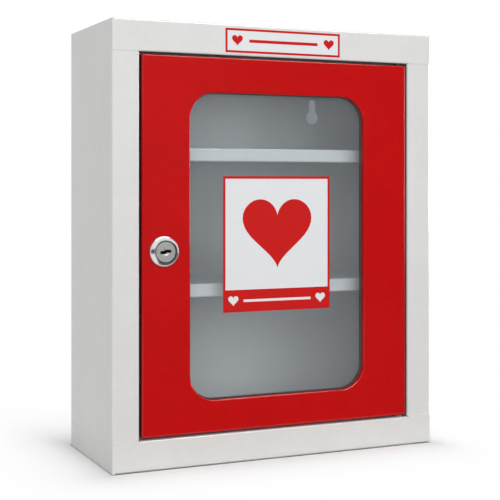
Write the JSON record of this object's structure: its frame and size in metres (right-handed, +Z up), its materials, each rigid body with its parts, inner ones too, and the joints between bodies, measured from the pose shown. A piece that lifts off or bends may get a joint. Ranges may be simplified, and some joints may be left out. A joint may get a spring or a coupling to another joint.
{
  "type": "medicine cabinet",
  "caption": "Wall-hung sheet-steel medicine cabinet with a white body, a red glazed door on pivot pins, a cam lock, inner shelves and keyhole slots for hanging.",
  "frame": {"origin": "middle of the footprint on the plane the base stands on", "axes": "+X to the right seen from the front, +Y to the back and the wall, +Z up"},
  "size_m": [0.302, 0.1262, 0.37],
  "materials": {
    "body_paint": "satin white powder coat",
    "door_paint": "satin red powder coat",
    "bumper_rubber": "matt black",
    "zinc_plate": "bright zinc plate",
    "bush_nylon": "black nylon",
    "seal_rubber": "mid grey, satin",
    "pane_clear": "clear, polished",
    "lock_chrome": "bright chrome plate",
    "lock_face": "satin nickel plate",
    "wafer_brass": "plain brass"
  },
  "bodies": {
    "cabinet": {"bottom_panel": "body_paint", "top_panel": "body_paint", "left_side_panel": "body_paint", "right_side_panel": "body_paint", "back_panel": "body_paint", "lower_shelf": "body_paint", "upper_shelf": "body_paint", "bracket_lower_left": "body_paint", "bracket_lower_right": "body_paint", "bracket_upper_left": "body_paint", "bracket_upper_right": "body_paint", "door_bumpers": "bumper_rubber", "lower_pivot_pin": "zinc_plate", "upper_pivot_pin": "zinc_plate"},
    "door": {"door_panel": "door_paint", "lower_pivot_bush": "bush_nylon", "upper_pivot_bush": "bush_nylon", "glazing_seal": "seal_rubber", "window_pane": "pane_clear", "pane_clips": "zinc_plate", "clip_studs": "zinc_plate", "clip_nuts": "zinc_plate", "lock_housing": "lock_chrome", "lock_tooth_washer": "zinc_plate", "lock_nut": "zinc_plate"},
    "lock": {"lock_plug": "lock_face", "lock_wafers": "wafer_brass", "stop_washer": "zinc_plate", "lock_cam": "zinc_plate", "cam_spring_washer": "zinc_plate", "cam_screw": "zinc_plate"}
  },
  "joints": [
    {"name": "door_hinge", "type": "hinge", "parent": "cabinet", "child": "door", "pos_m": [0.1205, -0.0529, 0.1845], "axis": [0, 0, 1], "range_deg": [0, 110]},
    {"name": "lock_turn", "type": "hinge", "parent": "door", "child": "lock", "pos_m": [-0.1063, -0.0579, 0.1795], "axis": [0, 1, 0], "range_deg": [0, 90]}
  ]
}
